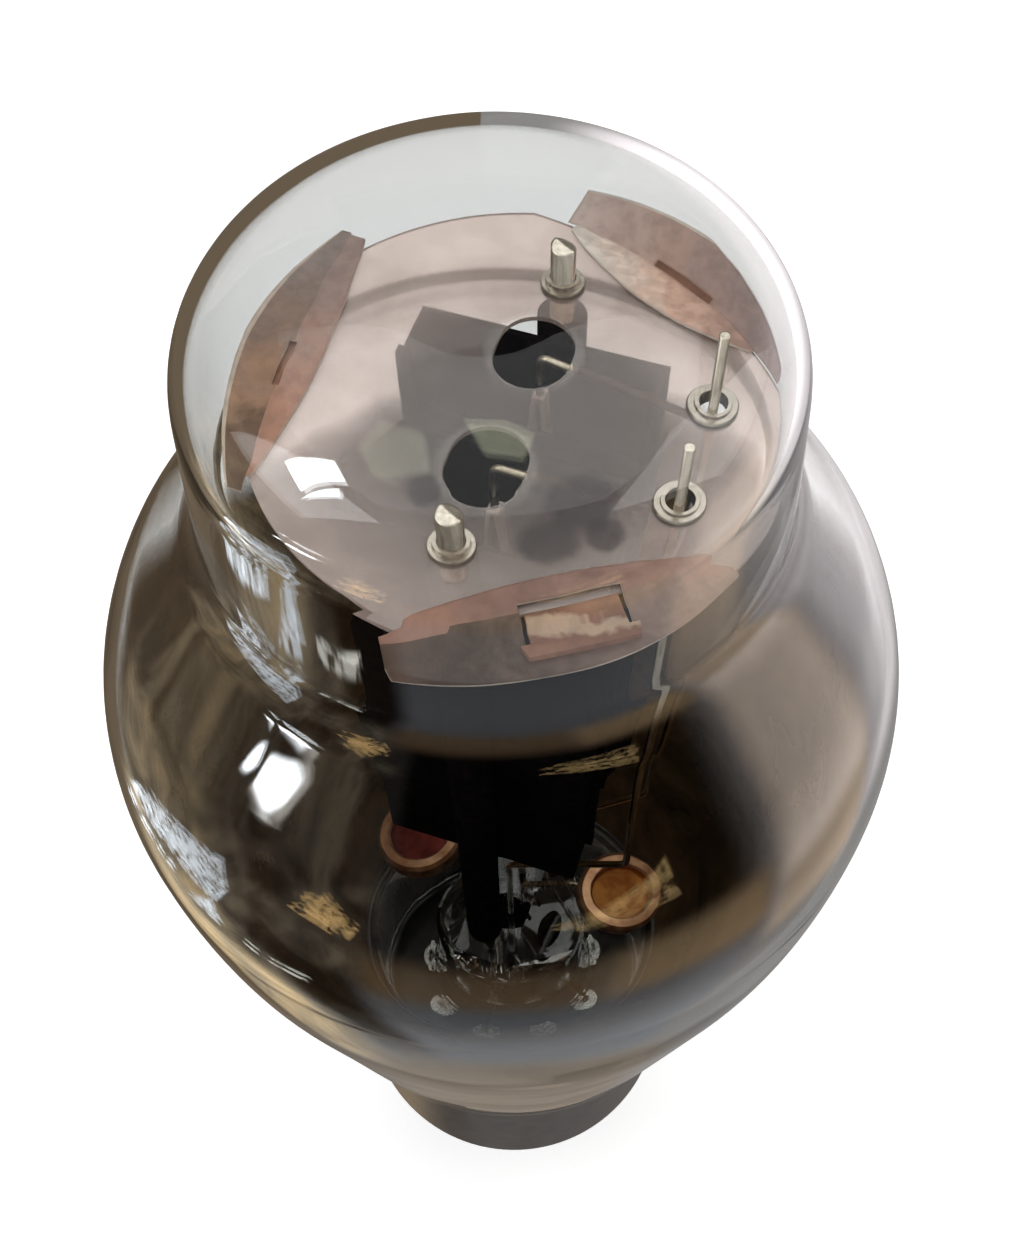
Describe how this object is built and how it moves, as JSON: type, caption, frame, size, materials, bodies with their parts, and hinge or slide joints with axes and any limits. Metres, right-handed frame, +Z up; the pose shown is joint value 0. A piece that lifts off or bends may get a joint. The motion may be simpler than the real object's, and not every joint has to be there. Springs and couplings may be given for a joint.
{
  "type": "rectifier tube",
  "caption": "Shouldered glass rectifier tube with its mica spacer, plates, filaments and getter cups on a pressed stem, and a keyed pin base.",
  "frame": {"origin": "on the tube's axis at the seat of the base, the face that meets the socket's top", "axes": "+Z up along the tube's axis towards the dome, -Y towards the camera's side of the picture, +X to its right"},
  "size_m": [0.052, 0.052, 0.1283],
  "materials": {
    "glass": "clear blown glass",
    "mica": "translucent pinkish mica sheet",
    "leaf": "copper-brown mica leaf",
    "nickel": "bright nickel wire and eyelets",
    "plate": "carbonised black sheet",
    "filament": "pale coated ribbon",
    "hook": "warm drawn wire",
    "getter": "copper-coloured pressed cup",
    "base": "moulded dark brown resin",
    "cement": "basing cement",
    "lead": "copper-coated lead wire",
    "pin": "plated contact pin"
  },
  "bodies": {
    "root": {"glass_envelope": "glass", "glass_stem": "glass", "mica_disc": "mica", "mica_bumper_left": "leaf", "mica_bumper_right": "leaf", "mica_bumper_front": "leaf", "plate_rod_front": "nickel", "plate_rod_back": "nickel", "filament_post_front": "nickel", "filament_post_back": "nickel", "rod_eyelet_front": "nickel", "rod_eyelet_back": "nickel", "post_eyelet_front": "nickel", "post_eyelet_back": "nickel", "plate_front": "plate", "plate_back": "plate", "filament_front": "filament", "filament_rear": "filament", "filament_hook_front": "hook", "filament_hook_back": "hook", "filament_lead_left": "hook", "filament_lead_right": "hook", "getter_cup_left": "getter", "getter_cup_right": "getter", "getter_support_left": "hook", "getter_support_right": "hook", "base_shell": "base", "base_cement": "cement", "lead_plate_front": "lead", "lead_plate_back": "lead", "lead_filament_left": "lead", "lead_filament_right": "lead", "pin_1": "pin", "pin_2": "pin", "pin_3": "pin", "pin_4": "pin", "pin_5": "pin", "pin_6": "pin", "pin_7": "pin", "pin_8": "pin"}
  },
  "joints": []
}
